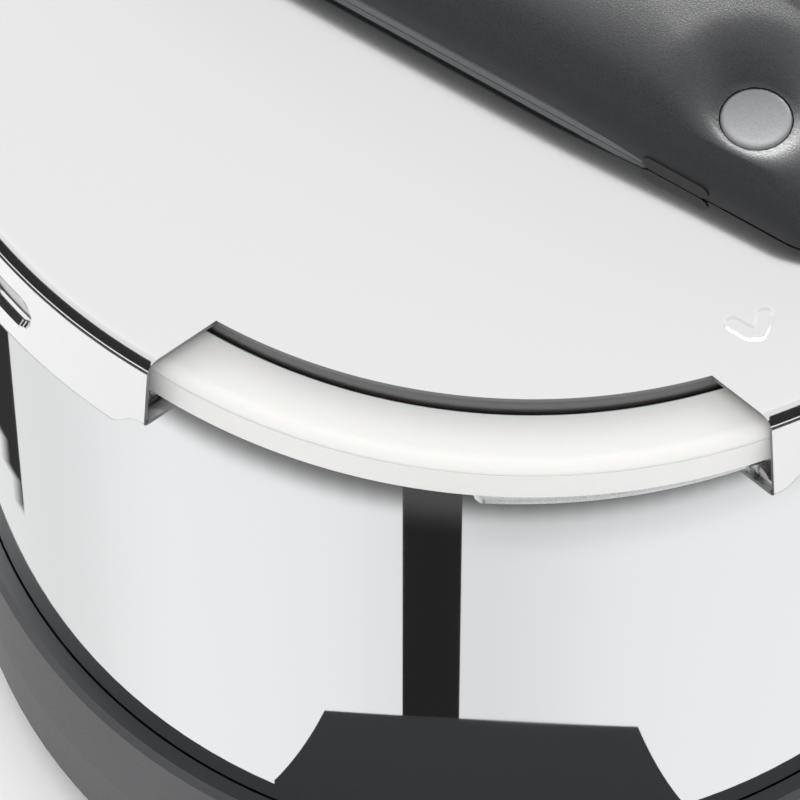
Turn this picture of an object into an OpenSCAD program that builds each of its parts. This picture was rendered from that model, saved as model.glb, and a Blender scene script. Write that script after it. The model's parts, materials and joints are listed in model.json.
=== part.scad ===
// Electric pressure cooker with a bayonet lid, a steam release button in the lid
// cover and a lift-out cooking pot. The origin is on the floor under the centre,
// +Z is up and the control console faces -Y.

/* [Lid] */
// Height of the lid's flat top above the floor
lid_top = 255; // [250:1:262]
// Radius at which the flat top turns into the skirt
lid_r = 130; // [129.5:0.1:130.5]
// Thickness of the lid's steel sheet
sheet = 1.2; // [1:0.1:1.4]
// Height of the skirt between the lugs
skirt_h = 22; // [21.4:0.1:22.6]
// Height of the skirt at the lugs
lug_h = 27.2; // [26.6:0.1:27.4]
// Number of bayonet lugs
lug_count = 6; // [6:1:6]
// Direction of the first lug
lug_start = 13; // [11:1:15]
// Width of each lug
lug_angle = 29; // [26:0.5:29]
// Radius at which the window in the lid's rim begins
window_r = 116.5; // [115:0.5:118]

/* [Cover on the lid] */
// Direction of the cover's long axis with the lid unlocked
cover_dir = -120; // [-122:1:-118]
// Half the cover's width
cover_half_w = 38.4; // [37:0.2:40]
// Half the cover's length
cover_half_l = 106; // [102:1:108]
// Height of the cover above the lid
cover_h = 25; // [24:0.5:27]
// Radius of the steam release button
release_r = 7.2; // [6.5:0.1:7.4]

/* [Body] */
// Outer radius of the steel wall
wall_r = 121; // [120.8:0.1:121.2]
// Height at which the plastic base ends
base_top = 72; // [70:1:76]
// Half the depth of the whole appliance
depth_half = 146; // [145:0.5:148]
// Half the width over the side handles
handle_reach = 155; // [152:1:158]

/* [Cooking pot] */
// Inner radius of the cooking pot
pot_r = 109; // [106:0.5:109.5]
// Height of the cooking pot's underside
pot_z = 72.3; // [72.2:0.1:73]

/* [Hidden] */
$fn = 96;

gap = 0.3;                          // clearance between moving pieces
lug_pitch = 360 / lug_count;
skirt_top_r = lid_r + 1.2;          // outer radius of the skirt just below the bend
skirt_out_r = lid_r + 3.3;          // skirt radius at the lugs' lower edge
bend_r = 2.8;                       // outer radius of the bend round the lid's edge
lug_in_r = 123;                     // inner edge of the turned-in lid lugs
ring_top = lid_top - 18.5;          // top of the locking ring and of the pot's rim
ring_lugs = [for (i = [0, 1, 3, 4, 5]) lug_start + (i + 0.5) * lug_pitch, lug_start + 3 * lug_pitch];
ring_low = lid_top - 23.4;          // underside of the locking ring's lugs
shell_top = ring_low - 0.3;
shell_low = base_top - 4;
window_from = 152.3;                // directions of the window's two inner corners
window_to = 202.1;
window_cut_from = 131.4;            // directions in which its two cuts run outward
window_cut_to = 230.9;
slot_floor = 131.9;                 // how far out the flat floor of each pocket lies
slot_len = 15;                      // shallow pockets in the skirt above the lugs
slot_w = 10.2;
slot_z = lid_top - 14.1;

valve_at = [-62.3, 23.8];           // positions in the cover's own frame
release_at = [71.5, -24.5];
float_at = [-30, -14];
pivot_at = [4.6, -0.35];
lever_dir = atan2(release_at[1] - valve_at[1], release_at[0] - valve_at[0]);
lever_z = lid_top + 10.5;
lever_t = 3;
vent_r = 4;
cover_low = lid_top + 2.3;
release_top = lid_top + 15.5;

plate_low = 58;                     // underside of the heating plate's flange
console_half_w = 60;
console_z = [104, 218];
console_front = depth_half - 0.5;
key_x = 36;
key_z = [121, 145];
key_r = 8.5;
key_proud = 0.5;
key_travel = 0.6;
board_y = -134;                     // front face of the control board
inlet_z = 35;
handle_low = 36;                    // lower and upper height of the side handles
handle_top = 66;
handle_screw_z = 50;
cup_rim_z = 184;
foot_ring_r = 92;
screw_ring_r = 107;

// Points along an arc, for rounded corners of an outline.
function arc(x, y, r, from, to, steps = 8) =
    [for (i = [0:steps]) let (a = from + (to - from) * i / steps) [x + r * cos(a), y + r * sin(a)]];

// Radius of the skirt's outer face at a depth below the lid's top.
function skirt_r(depth) = skirt_top_r + (skirt_out_r - skirt_top_r) * depth / lug_h;

module turned(outline, angle = 360) {
    rotate_extrude(angle = angle, $fn = 180) polygon(outline);
}
module tube(r_out, r_in, z_low, z_high) {
    translate([0, 0, z_low]) difference() {
        cylinder(r = r_out, h = z_high - z_low, $fn = 180);
        translate([0, 0, -1]) cylinder(r = r_in, h = z_high - z_low + 2, $fn = 180);
    }
}
module ring_of(count, radius, start = 0) {
    for (i = [0:count - 1]) rotate([0, 0, start + i * 360 / count]) translate([radius, 0, 0]) children();
}
// Box given by its low and high corners.
module block(low, high) { translate(low) cube(high - low); }
// Rectangle with round corners in the plane of the first two axes.
module rounded(half_x, half_y, r) {
    square([2 * half_x - 2 * r, 2 * half_y], center = true);
    square([2 * half_x, 2 * half_y - 2 * r], center = true);
    for (sx = [-1, 1], sy = [-1, 1]) translate([sx * (half_x - r), sy * (half_y - r)]) circle(r = r);
}
// Upright plate standing in the XZ plane, from y_front to y_back.
module upright(y_front, y_back, z_mid) {
    translate([0, y_back, z_mid]) rotate([90, 0, 0]) linear_extrude(height = y_back - y_front) children();
}
module in_cover() { rotate([0, 0, cover_dir]) children(); }
// Wire coil with a round section, wound from z_low to z_high.
module coil(coil_r, wire_r, z_low, z_high, turns) {
    per_turn = 16;
    sides = 6;
    rings = turns * per_turn;
    rise = (z_high - z_low - 2 * wire_r) / rings;
    points = [for (i = [0:rings], s = [0:sides - 1])
        let (a = i * 360 / per_turn, b = s * 360 / sides, r = coil_r + wire_r * cos(b))
        [r * cos(a), r * sin(a), z_low + wire_r + i * rise + wire_r * sin(b)]];
    sleeve = [for (i = [0:rings - 1], s = [0:sides - 1]) let (n = (s + 1) % sides)
        [i * sides + s, i * sides + n, (i + 1) * sides + n, (i + 1) * sides + s]];
    first = [for (s = [sides - 1:-1:0]) s];
    last = [for (s = [0:sides - 1]) rings * sides + s];
    polyhedron(points = points, faces = concat(sleeve, [first], [last]));
}
// Insulated wire with eight sides through a list of points.
module wire(route, r = 1.3) {
    sides = 8;
    n = len(route);
    function unit(v) = v / norm(v);
    function heading(i) = unit((i < n - 1 ? unit(route[i + 1] - route[i]) : [0, 0, 0])
        + (i > 0 ? unit(route[i] - route[i - 1]) : [0, 0, 0]));
    points = [for (i = [0:n - 1], s = [0:sides - 1])
        let (h = heading(i), u = unit(cross(h, [0.94, 0.34, 0])), v = cross(h, u), b = s * 360 / sides)
        route[i] + r * cos(b) * u + r * sin(b) * v];
    sleeve = [for (i = [0:n - 2], s = [0:sides - 1]) let (m = (s + 1) % sides)
        [i * sides + s, (i + 1) * sides + s, (i + 1) * sides + m, i * sides + m]];
    polyhedron(points = points, faces = concat(sleeve,
        [[for (s = [0:sides - 1]) s]], [[for (s = [sides - 1:-1:0]) (n - 1) * sides + s]]));
}

// ---------------------------------------------------------------- base and body

module rubber_feet() {
    color("#2b2b2c") ring_of(4, foot_ring_r, 45) union() {
        turned([[0, 0], [9.5, 0], [11, 1.5], [11, 6], [0, 6]]);
        cylinder(r = 4, h = 9.5);
    }
}
module bottom_plate() {
    color("#8d9093") difference() {
        union() {
            translate([0, 0, 6]) cylinder(r = 114, h = 1.5);
            for (x = [-45, 45], y = [-30, 30]) translate([x, y, 7.5]) cylinder(r = 3, h = 10.5);
        }
        ring_of(4, foot_ring_r, 45) cylinder(r = 4, h = 20);
        ring_of(4, screw_ring_r) cylinder(r = 1.6, h = 20);
        for (i = [-4:4]) translate([i * 8, -70, 5]) rounded_slot(3, 24, 4);
        for (i = [-4:4]) translate([i * 8, 70, 5]) rounded_slot(3, 24, 4);
    }
}
module rounded_slot(width, length, h) {
    linear_extrude(height = h) rounded(width / 2, length / 2, width / 2 - 0.01);
}
module bottom_screws() {
    color("#b9bcbf") ring_of(4, screw_ring_r) {
        translate([0, 0, 4.4]) cylinder(r = 3.2, h = 1.6);
        translate([0, 0, 5]) cylinder(r = 1.6, h = 14);
    }
}
module base_housing() {
    outer = [[103, 7.7], [117, 7.7], [121.6, 10.2], [124.3, 16.5], [125.3, 40], [125.6, base_top - 3],
        [124.6, base_top], [wall_r + 0.3, base_top]];
    inner = [[wall_r + 0.3, shell_low - 0.2], [118.6, shell_low - 0.2], [118.6, shell_low - 2.6],
        [123, shell_low - 7], [122.8, 40], [121.7, 17.2], [119.7, 12], [116.4, 10.2], [103, 10.2]];
    color("#2f3032") difference() {
        union() {
            turned(concat(outer, inner));
            ring_of(4, screw_ring_r) translate([0, 0, 8]) cylinder(r = 4, h = 14);
        }
        ring_of(4, screw_ring_r) cylinder(r = 1.6, h = 19);
        block([-15.6, 100, inlet_z - 12.6], [15.6, 130, inlet_z + 12.6]);
        for (s = [-1, 1], y = [-25, 25]) translate([s * 110, y, handle_screw_z]) rotate([0, s * 90, 0])
            cylinder(r = 1.8, h = 20);
    }
}
module housing_shell() {
    color("#dcdee0") difference() {
        tube(wall_r, wall_r - 0.8, shell_low, shell_top);
        block([-24, -130, 150], [24, -100, 178]);
    }
}
module side_handle(side) {
    low = handle_low;
    top = handle_top;
    color("#2f3032") difference() {
        intersection() {
            block([side > 0 ? 118 : -handle_reach, -50, low], [side > 0 ? handle_reach : -118, 50, top]);
            translate([side * 60, 0, low]) cylinder(r = handle_reach - 60, h = top - low, $fn = 180);
        }
        translate([0, 0, low - 1]) cylinder(r = 125.7, h = top - low + 2, $fn = 180);
        intersection() {
            block([side > 0 ? 130 : -149, -38, low - 1], [side > 0 ? 149 : -130, 38, top - 6]);
            translate([side * 60, 0, low - 1]) cylinder(r = handle_reach - 66, h = top - low, $fn = 180);
        }
        for (y = [-25, 25]) translate([side * 120, y, handle_screw_z]) rotate([0, side * 90, 0])
            cylinder(r = 1.5, h = 8);
    }
}
module side_handle_left() { side_handle(-1); }
module side_handle_right() { side_handle(1); }
module handle_screws() {
    color("#b9bcbf") for (s = [-1, 1], y = [-25, 25]) translate([s * 117, y, handle_screw_z])
        rotate([0, s * 90, 0]) {
        cylinder(r = 3.2, h = 2);
        cylinder(r = 1.5, h = 10.5);
    }
}
module outer_pot() {
    color("#c3c6c8") turned([[88, 62], [110, 62], [114, 66], [114, ring_low], [113, ring_low],
        [113, 66.4], [109.6, 63], [88, 63]]);
}
module locking_ring() {
    rest = ring_top - 2;
    color("#d4d6d8") union() {
        turned([[113, ring_low], [122.6, ring_low], [122.6, ring_top], [120, ring_top], [120, rest],
            [113, rest]]);
        for (a = ring_lugs)
            rotate([0, 0, a - lug_angle / 2])
                turned([[122, ring_low], [126.8, ring_low], [127.3, ring_low + 0.5], [127.3, ring_top - 1.2],
                    [126.1, ring_top], [122, ring_top]], lug_angle);
    }
}
module heat_shield() { color("#a9adb0") tube(117.4, 116.8, 78, 212); }

// ---------------------------------------------------------------- heater and electrics

module heating_plate() {
    color("#b4b6b8") turned([[17.5, plate_low], [95, plate_low], [95, 61.7], [87, 61.7], [87, 70.2],
        [85.5, 71.6], [60, 71.3], [17.5, 70.9]]);
}
module heating_element() {
    color("#6e6a66") rotate([0, 0, 15]) rotate_extrude(angle = 330) translate([62, plate_low - 4.3])
        circle(r = 4.2, $fn = 48);
}
module element_terminals() {
    color("#d9d4c8") for (a = [18, -18]) rotate([0, 0, a]) translate([62, 0, 0]) {
        translate([0, 0, 43]) cylinder(r = 3.6, h = 6.4);
        translate([-0.4, -3, 36]) cube([0.8, 6, 8]);
    }
}
module sensor_holder() {
    color("#a9adb0") difference() {
        union() {
            translate([0, 0, 47]) cylinder(r = 27, h = 2.5);
            ring_of(3, 23.5) translate([0, 0, 48]) cylinder(r = 2.5, h = plate_low - 48.1);
        }
        translate([0, 0, 40]) cylinder(r = 5.3, h = 20);
    }
}
module sensor_cap() {
    color("#c9cbcd") union() {
        turned([[0, 69.4], [14.4, 69.4], [14.4, 60.5], [15.8, 60.5], [15.8, 71], [14.8, 72], [0, 72]]);
        translate([0, 0, 43]) cylinder(r = 5, h = 27);
    }
}
module sensor_spring() { color("#8f9294") coil(9, 0.7, 49.6, 69.3, 5); }
module thermal_fuse() {
    color("#d8d2c2") translate([38, -11, plate_low - 2.4]) rotate([-90, 0, 0]) {
        cylinder(r = 2.2, h = 22);
        translate([0, 0, -6]) cylinder(r = 0.6, h = 34);
    }
}
module fuse_clamp() {
    color("#a9adb0") difference() {
        block([33.5, -4, plate_low - 5.9], [50, 4, plate_low - 0.1]);
        block([35.6, -5, plate_low - 4.9], [40.4, 5, plate_low + 1]);
        block([41.5, -5, plate_low - 8], [51, 5, plate_low - 1.2]);
    }
}
module pressure_switch() {
    color("#e2ddd0") rotate([0, 0, 200]) union() {
        block([72, -10, plate_low - 12], [84, 10, plate_low - 1.5]);
        translate([78, 0, plate_low - 2]) cylinder(r = 2.4, h = 1.9);
        block([77, -13, plate_low - 8], [78, 13, plate_low - 4]);
    }
}
module power_board() {
    color("#3f6b45") block([-52, -37, 18], [52, 37, 19.6]);
}
module transformer() {
    color("#4a4640") union() {
        block([-44, -22, 19.7], [-14, 8, 33]);
        block([-39, -25, 21], [-19, 11, 31]);
    }
}
module relay() { color("#3358a0") block([10, -24, 19.7], [29, -8, 35]); }
module board_capacitors() {
    color("#2e3138") for (p = [[0, 22, 5], [14, 22, 5], [30, 20, 6.5]])
        translate([p[0], p[1], 19.7]) cylinder(r = p[2], h = 3 * p[2]);
}
module wire_harness() {
    color("#b3372e") union() {
        wire([[-7, 91.2, inlet_z - 3], [-12, 80, 28], [-30, 50, 25], [-38, 30, 21.2]]);
        wire([[7, 91.2, inlet_z - 3], [4, 78, 30], [-22, 52, 28], [-30, 28, 21.2]]);
        wire([[59, 16.2, 35], [56, 12, 28], [46, 0, 24], [38, -4, 21.2]]);
        wire([[59, -22.2, 35], [56, -22, 28], [48, -20, 24], [42, -16, 21.2]]);
        wire([[-18, -30, 21.2], [-14, -60, 26], [-4, -100, 45], [-1, -116.2, 60], [0, -116.2, 69.5],
            [0, -118.8, 77], [0, -118.8, 160], [0, -131, 166]], 1.1);
    }
}
module power_inlet() {
    color("#1d1d1f") difference() {
        union() {
            block([-15, 95, inlet_z - 12], [15, 126, inlet_z + 12]);
            block([-19, 125.7, inlet_z - 15], [19, 128, inlet_z + 15]);
        }
        block([-12.5, 104, inlet_z - 8.5], [12.5, 130, inlet_z + 8.5]);
        inlet_pins();
    }
}
module inlet_pins() {
    color("#d7c27a") for (x = [-7, 0, 7])
        let (z = inlet_z + (x == 0 ? 3.5 : -2)) block([x - 1, 92, z - 2], [x + 1, 119, z + 2]);
}

// ---------------------------------------------------------------- control console

console_mid = (console_z[0] + console_z[1]) / 2;
console_half_h = (console_z[1] - console_z[0]) / 2;
display_mid = 186;

module console_housing() {
    color("#2f3032") difference() {
        upright(-console_front, -95, console_mid) rounded(console_half_w, console_half_h, 12);
        cylinder(r = wall_r + 0.1, h = 300, $fn = 180);
        upright(-console_front - 1, -90, console_mid)
            rounded(console_half_w - 2.6, console_half_h - 2.6, 9.4);
    }
}
module control_panel() {
    color("#151517") difference() {
        union() {
            upright(-console_front + 0.3, -console_front + 2.8, console_mid)
                rounded(console_half_w - 2.8, console_half_h - 2.8, 9.2);
            for (x = [-50, 50], z = [112, 210]) translate([x, board_y - 0.1, z]) rotate([90, 0, 0])
                cylinder(r = 3, h = console_front + board_y - 2);
        }
        for (x = [-key_x, 0, key_x], z = key_z) translate([x, 0, z]) rotate([90, 0, 0])
            cylinder(r = key_r + gap, h = 200);
        upright(-console_front - 1, -console_front + 4, display_mid) rounded(34.1, 18.1, 3);
    }
}
module display_window() {
    color("#20262b") upright(-console_front + 0.3, -console_front + 2.3, display_mid) rounded(34, 18, 2.9);
}
module display_module() {
    color("#3b4a4f") block([-31, -console_front + 2.9, display_mid - 15], [31, board_y - 0.1, display_mid + 15]);
}
module control_board() {
    color("#3f6b45") block([-54, board_y, 109], [54, board_y + 1.6, 213]);
}
module key_switches() {
    color("#c8cacc") for (x = [-key_x, 0, key_x], z = key_z) {
        block([x - 3, board_y - 3.6, z - 3], [x + 3, board_y - 0.05, z + 3]);
        translate([x, board_y - 3.5, z]) rotate([90, 0, 0]) cylinder(r = 1.7, h = 0.7);
    }
}
module key(x, z) {
    back = board_y - 4.2 - key_travel - gap;
    face = -console_front - key_proud;
    translate([x, 0, z]) rotate([90, 0, 0]) {
        translate([0, 0, -face - 3.4]) cylinder(r = key_r, h = 3.4);
        translate([0, 0, -face - 4.6]) cylinder(r = key_r + 1.2, h = 1.2);
        translate([0, 0, -back]) cylinder(r = 3, h = back - face - 3);
    }
}
module button_menu() { color("#3a3b3d") key(-key_x, key_z[1]); }
module button_warm() { color("#3a3b3d") key(key_x, key_z[1]); }
module button_minus() { color("#3a3b3d") key(-key_x, key_z[0]); }
module button_plus() { color("#3a3b3d") key(key_x, key_z[0]); }
module button_cancel() { color("#3a3b3d") key(0, key_z[0]); }
module button_start() { color("#3a3b3d") key(0, key_z[1]); }

// ---------------------------------------------------------------- condensation collector

module collector_bracket() {
    color("#2f3032") difference() {
        union() {
            block([-29.4, 110, 150], [29.4, 123.7, cup_rim_z + 2.4]);
            for (s = [-1, 1]) {
                side_block(s, 27.4, 29.4, 120, 142, 176, cup_rim_z + 2.4);
                side_block(s, 24.4, 28, 120, 142, cup_rim_z - 5, cup_rim_z - 2.9);
                side_block(s, 25.4, 28, 120, 142, cup_rim_z + 0.4, cup_rim_z + 2.4);
            }
        }
        cylinder(r = wall_r + 0.1, h = 300, $fn = 180);
    }
}
module side_block(s, x_in, x_out, y0, y1, z0, z1) {
    block([s > 0 ? x_in : -x_out, y0, z0], [s > 0 ? x_out : -x_in, y1, z1]);
}
module condensation_collector() {
    color("#dfe4e6") difference() {
        union() {
            block([-27, 124.3, cup_rim_z - 2.5], [27, depth_half, cup_rim_z]);
            translate([0, 134.8, cup_rim_z - 42]) linear_extrude(height = 41) rounded(23.8, 10.3, 4);
        }
        translate([0, 134.8, cup_rim_z - 40.2]) linear_extrude(height = 60) rounded(22, 8.5, 2.6);
    }
}

// ---------------------------------------------------------------- cooking pot and inner cover

module inner_pot() {
    floor_r = pot_r - 9;
    t = 1.6;
    outer = concat([[0, pot_z], [floor_r, pot_z]], arc(floor_r, pot_z + 10.6, 10.6, -90, 0),
        [[pot_r + t, ring_top - 4.8], [pot_r + t + 2, ring_top - 1.6], [118.6, ring_top - 1.6]]);
    inner = concat([[119.4, ring_top - 0.8], [118.8, ring_top], [pot_r + 3, ring_top], [pot_r, ring_top - 4.2]],
        arc(floor_r, pot_z + 10.6, 9, 0, -90), [[0, pot_z + t]]);
    color("#8b8d90") turned(concat(outer, inner));
}
module inner_cover() {
    color("#d0d2d4") difference() {
        turned([[0, lid_top - 15.6], [112, lid_top - 15.6], [113.4, lid_top - 17], [115.2, lid_top - 17],
            [115.2, lid_top - 8.4], [114, lid_top - 8.4], [114, lid_top - 14.4], [0, lid_top - 14.4]]);
        translate([0, 0, lid_top - 30]) cylinder(r = 8, h = 30);
        ring_of(6, 60) translate([0, 0, lid_top - 30]) cylinder(r = 3, h = 30);
    }
}
module inner_cover_bush() {
    color("#e9e9e6") turned([[4.4, lid_top - 18], [9.6, lid_top - 18], [9.6, lid_top - 15.7], [7.9, lid_top - 15.7],
        [7.9, lid_top - 14.3], [9.6, lid_top - 14.3], [8.4, lid_top - 12], [4.4, lid_top - 12]]);
}
module sealing_ring() {
    top = lid_top - 6.5;
    low = lid_top - 18.2;
    outer = concat([[121, low], [126.8, low]], arc(127, low + 1.2, 1.2, -70, 0, 4), [[128.4, low + 6]],
        arc(125.6, top - 2.9, 2.9, 0, 90));
    inner = concat(arc(116.8, top - 1.3, 1.3, 90, 180, 5), [[115.5, top - 5.4], [118.6, top - 6.6],
        [119.4, top - 8.6], [118.2, low + 1.8], [115.6, low + 0.9], [115.6, low]]);
    color("#f2f2f0") turned(concat(outer, inner));
}

// ---------------------------------------------------------------- lid

// Sector between the window's two cuts, outside its inner radius.
module window_shape() {
    far = 60;
    p = window_r * [cos(window_from), sin(window_from)];
    q = window_r * [cos(window_to), sin(window_to)];
    difference() {
        polygon([p, p + far * [cos(window_cut_from), sin(window_cut_from)],
            q + far * [cos(window_cut_to), sin(window_cut_to)], q, [-80, 0]]);
        circle(r = window_r, $fn = 180);
    }
}
module lid_shell() {
    outside = concat([[0, lid_top]], arc(skirt_top_r - bend_r, lid_top - bend_r, bend_r, 90, 0),
        [[skirt_r(skirt_h), lid_top - skirt_h], [skirt_r(skirt_h) - 4, lid_top - skirt_h]]);
    inside = concat([[skirt_r(skirt_h) - 4, lid_top - skirt_h + sheet],
        [skirt_r(skirt_h) - sheet, lid_top - skirt_h + sheet]],
        arc(skirt_top_r - bend_r, lid_top - bend_r, bend_r - sheet, 0, 90), [[0, lid_top - sheet]]);
    lug = [[skirt_r(skirt_h) - sheet, lid_top - skirt_h + 0.6], [skirt_r(skirt_h), lid_top - skirt_h + 0.6],
        [skirt_out_r, lid_top - lug_h + 1], [skirt_out_r - 1, lid_top - lug_h], [lug_in_r, lid_top - lug_h],
        [lug_in_r, lid_top - lug_h + sheet], [skirt_out_r - sheet, lid_top - lug_h + sheet]];
    color("#e6e7e8") difference() {
        union() {
            turned(concat(outside, inside));
            for (i = [0:lug_count - 1]) rotate([0, 0, lug_start + i * lug_pitch - lug_angle / 2])
                turned(lug, lug_angle);
        }
        translate([0, 0, lid_top - 40]) linear_extrude(height = 50) window_shape();
        for (i = [0:lug_count - 1]) rotate([0, 0, lug_start + i * lug_pitch])
            translate([slot_floor, 0, slot_z]) rotate([0, 90, 0]) linear_extrude(height = 5)
                rounded(slot_w / 2, slot_len / 2, slot_w / 2 - 0.01);
        in_cover() {
            translate([valve_at[0], valve_at[1], lid_top - 10]) cylinder(r = vent_r, h = 20);
            translate([float_at[0], float_at[1], lid_top - 10]) cylinder(r = 5, h = 20);
            cover_screw_places() translate([0, 0, lid_top - 10]) cylinder(r = 2, h = 20);
        }
    }
}
module cover_screw_places() {
    for (p = [[86, 12], [-86, -12], [40, 24], [-20, 26]]) translate([p[0], p[1], 0]) children();
}
module lid_stud() {
    color("#c9cbcd") union() {
        translate([0, 0, lid_top - 19]) cylinder(r = 4, h = 17.7);
        translate([0, 0, lid_top - 3.3]) cylinder(r = 9, h = 2);
        translate([0, 0, lid_top - 20.4]) cylinder(r = 5.4, h = 1.9);
    }
}
// Plan of the cover, drawn in by an inset.
module cover_plan(inset) { rounded(cover_half_l - inset, cover_half_w - inset, 34 - inset); }
module cover_base() {
    color("#77797b") difference() {
        union() {
            translate([0, 0, lid_top + 0.1]) in_cover() linear_extrude(height = 2) cover_plan(0.2);
            in_cover() {
                translate([pivot_at[0], pivot_at[1], 0]) rotate([0, 0, lever_dir]) for (s = [-1, 1])
                    translate([-3.5, s * 6.2 - 1.6, lid_top + 1]) cube([7, 3.2, 13]);
                cover_screw_places() translate([0, 0, lid_top + 1]) cylinder(r = 4, h = 6);
                translate([float_at[0], float_at[1], lid_top + 1]) cylinder(r = 8, h = 5);
                translate([release_at[0], release_at[1], lid_top + 1]) cylinder(r = 5.5, h = 2.6);
            }
        }
        in_cover() {
            translate([pivot_at[0], pivot_at[1], lever_z]) rotate([0, 0, lever_dir]) rotate([90, 0, 0])
                translate([0, 0, -20]) cylinder(r = 1.5, h = 40, $fn = 48);
            translate([valve_at[0], valve_at[1], lid_top - 5]) cylinder(r = 9.6, h = 20);
            translate([float_at[0], float_at[1], lid_top - 5]) cylinder(r = 6.4, h = 20);
            cover_screw_places() translate([0, 0, lid_top - 5]) cylinder(r = 1.5, h = 11);
        }
    }
}
// Solid form of the cover: the highest point is over the lid's centre.
module cover_form(inset) {
    h = cover_h - inset;
    w = cover_half_w - inset;
    l = cover_half_l - inset;
    side = 4;
    steps = 12;
    across = [for (i = [0:steps]) let (a = 180 * i / steps)
        [w * sign(cos(a)) * pow(abs(cos(a)), 0.7), side + (h - side) * pow(sin(a), 0.8)]];
    along = [for (i = [0:steps]) let (x = 1 - 2 * i / steps) [l * x, h - 9 * x * x]];
    translate([0, 0, lid_top]) intersection() {
        translate([-120, 0, 0]) rotate([90, 0, 90]) linear_extrude(height = 240)
            polygon(concat(across, [[-w, 0], [w, 0]]));
        translate([0, 60, 0]) rotate([90, 0, 0]) linear_extrude(height = 120)
            polygon(concat(along, [[-l, 0], [l, 0]]));
        linear_extrude(height = 60) cover_plan(inset);
    }
}
module lid_cover() {
    wall = 2.2;
    color("#3c3d3f") in_cover() difference() {
        union() {
            difference() {
                cover_form(0);
                translate([0, 0, -0.01]) cover_form(wall);
            }
            intersection() {
                translate([release_at[0], release_at[1], lid_top + 12.5]) cylinder(r = 14, h = 20);
                cover_form(0);
            }
        }
        translate([0, 0, lid_top - 1]) linear_extrude(height = cover_low - lid_top + 1)
            square([300, 120], center = true);
        translate([release_at[0], release_at[1], lid_top + 5]) cylinder(r = release_r + gap, h = 30);
        translate([release_at[0], release_at[1], release_top - 1])
            cylinder(r1 = release_r + 0.8, r2 = release_r + 6.6, h = 6);
        translate([valve_at[0], valve_at[1], lid_top + 5]) cylinder(r = 13.5, h = 40);
        translate([float_at[0], float_at[1], lid_top + 10]) cylinder(r = 4.5, h = 30);
        translate([55, -60, cover_low - 1]) cube([14.5, 30, 5]);
    }
}
module cover_screws() {
    color("#b9bcbf") in_cover() cover_screw_places() {
        translate([0, 0, lid_top - 3]) cylinder(r = 3.6, h = 1.8);
        translate([0, 0, lid_top - 2]) cylinder(r = 1.5, h = 7.9);
    }
}
module vent_pipe() {
    color("#c9cbcd") in_cover() translate([valve_at[0], valve_at[1], 0])
        turned([[1.5, lid_top - 5.5], [6.5, lid_top - 5.5], [6.5, lid_top - 1.3], [vent_r, lid_top - 1.3],
            [vent_r, lid_top + 14], [2.4, lid_top + 16], [1.5, lid_top + 16]]);
}
module vent_nut() {
    color("#b9bcbf") in_cover() translate([valve_at[0], valve_at[1], lid_top + 0.1]) difference() {
        cylinder(r = 7.8, h = 4, $fn = 6);
        translate([0, 0, -1]) cylinder(r = vent_r, h = 6);
    }
}
module steam_filter() {
    color("#c9cbcd") in_cover() translate([valve_at[0], valve_at[1], 0]) difference() {
        turned([[6.5, lid_top - 1.4], [8, lid_top - 1.4], [8, lid_top - 11.5], [0, lid_top - 11.5],
            [0, lid_top - 10.5], [7, lid_top - 10.5], [7, lid_top - 5.6], [6.5, lid_top - 5.6]]);
        ring_of(8, 0) translate([5, -0.8, lid_top - 9.6]) cube([6, 1.6, 3]);
    }
}
module pressure_valve() {
    z = lid_top + 12.6;
    color("#2b2c2e") in_cover() translate([valve_at[0], valve_at[1], 0])
        turned([[vent_r + gap, z], [11, z], [11, z + 9], [12.6, z + 11], [12.6, z + 18.5], [11, z + 20.5],
            [0, z + 20.5], [0, z + 4.1], [vent_r + gap, z + 4.1]]);
}
module float_pin() {
    color("#d0a24a") in_cover() translate([float_at[0], float_at[1], 0]) union() {
        translate([0, 0, lid_top - 10.5]) cylinder(r = 3, h = 27.5);
        translate([0, 0, lid_top - 11.6]) cylinder(r = 4.4, h = 1.8);
    }
}
module float_washer() {
    color("#efefec") in_cover() translate([float_at[0], float_at[1], 0])
        turned([[3, lid_top - 9.7], [6, lid_top - 9.7], [6.2, lid_top - 7.6], [3, lid_top - 7.6]]);
}
module float_guide() {
    color("#c9cbcd") in_cover() translate([float_at[0], float_at[1], 0])
        turned([[3.1, lid_top - 2.2], [7, lid_top - 2.2], [7, lid_top - 1.3], [5, lid_top - 1.3],
            [5, lid_top + 6.5], [3.1, lid_top + 6.5]]);
}
module release_lever() {
    reach = norm(release_at - valve_at);
    back = norm(pivot_at - valve_at);
    color("#9b9da0") in_cover() translate([pivot_at[0], pivot_at[1], lever_z]) rotate([0, 0, lever_dir])
        difference() {
            union() {
                translate([-back + 9, -3, -lever_t / 2]) cube([reach - 9, 6, lever_t]);
                translate([-back, 0, -lever_t / 2]) cylinder(r = 11.5, h = lever_t);
                translate([reach - back, 0, -lever_t / 2]) cylinder(r = 5, h = lever_t);
                rotate([90, 0, 0]) translate([0, 0, -3.8]) cylinder(r = 3.4, h = 7.6);
            }
            translate([-back, 0, -5]) cylinder(r = 7, h = 10);
            rotate([90, 0, 0]) translate([0, 0, -5]) cylinder(r = 1.56, h = 10, $fn = 48);
        }
}
module lever_pin() {
    color("#c9cbcd") in_cover() translate([pivot_at[0], pivot_at[1], lever_z]) rotate([0, 0, lever_dir])
        rotate([90, 0, 0]) translate([0, 0, -8.4]) cylinder(r = 1.5, h = 16.8, $fn = 48);
}
module steam_button() {
    low = lever_z + lever_t / 2 + gap;
    color("#6f7174") in_cover() translate([release_at[0], release_at[1], 0])
        turned([[0, low], [release_r, low], [release_r, release_top - 1], [release_r - 1, release_top],
            [0, release_top]]);
}

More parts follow.
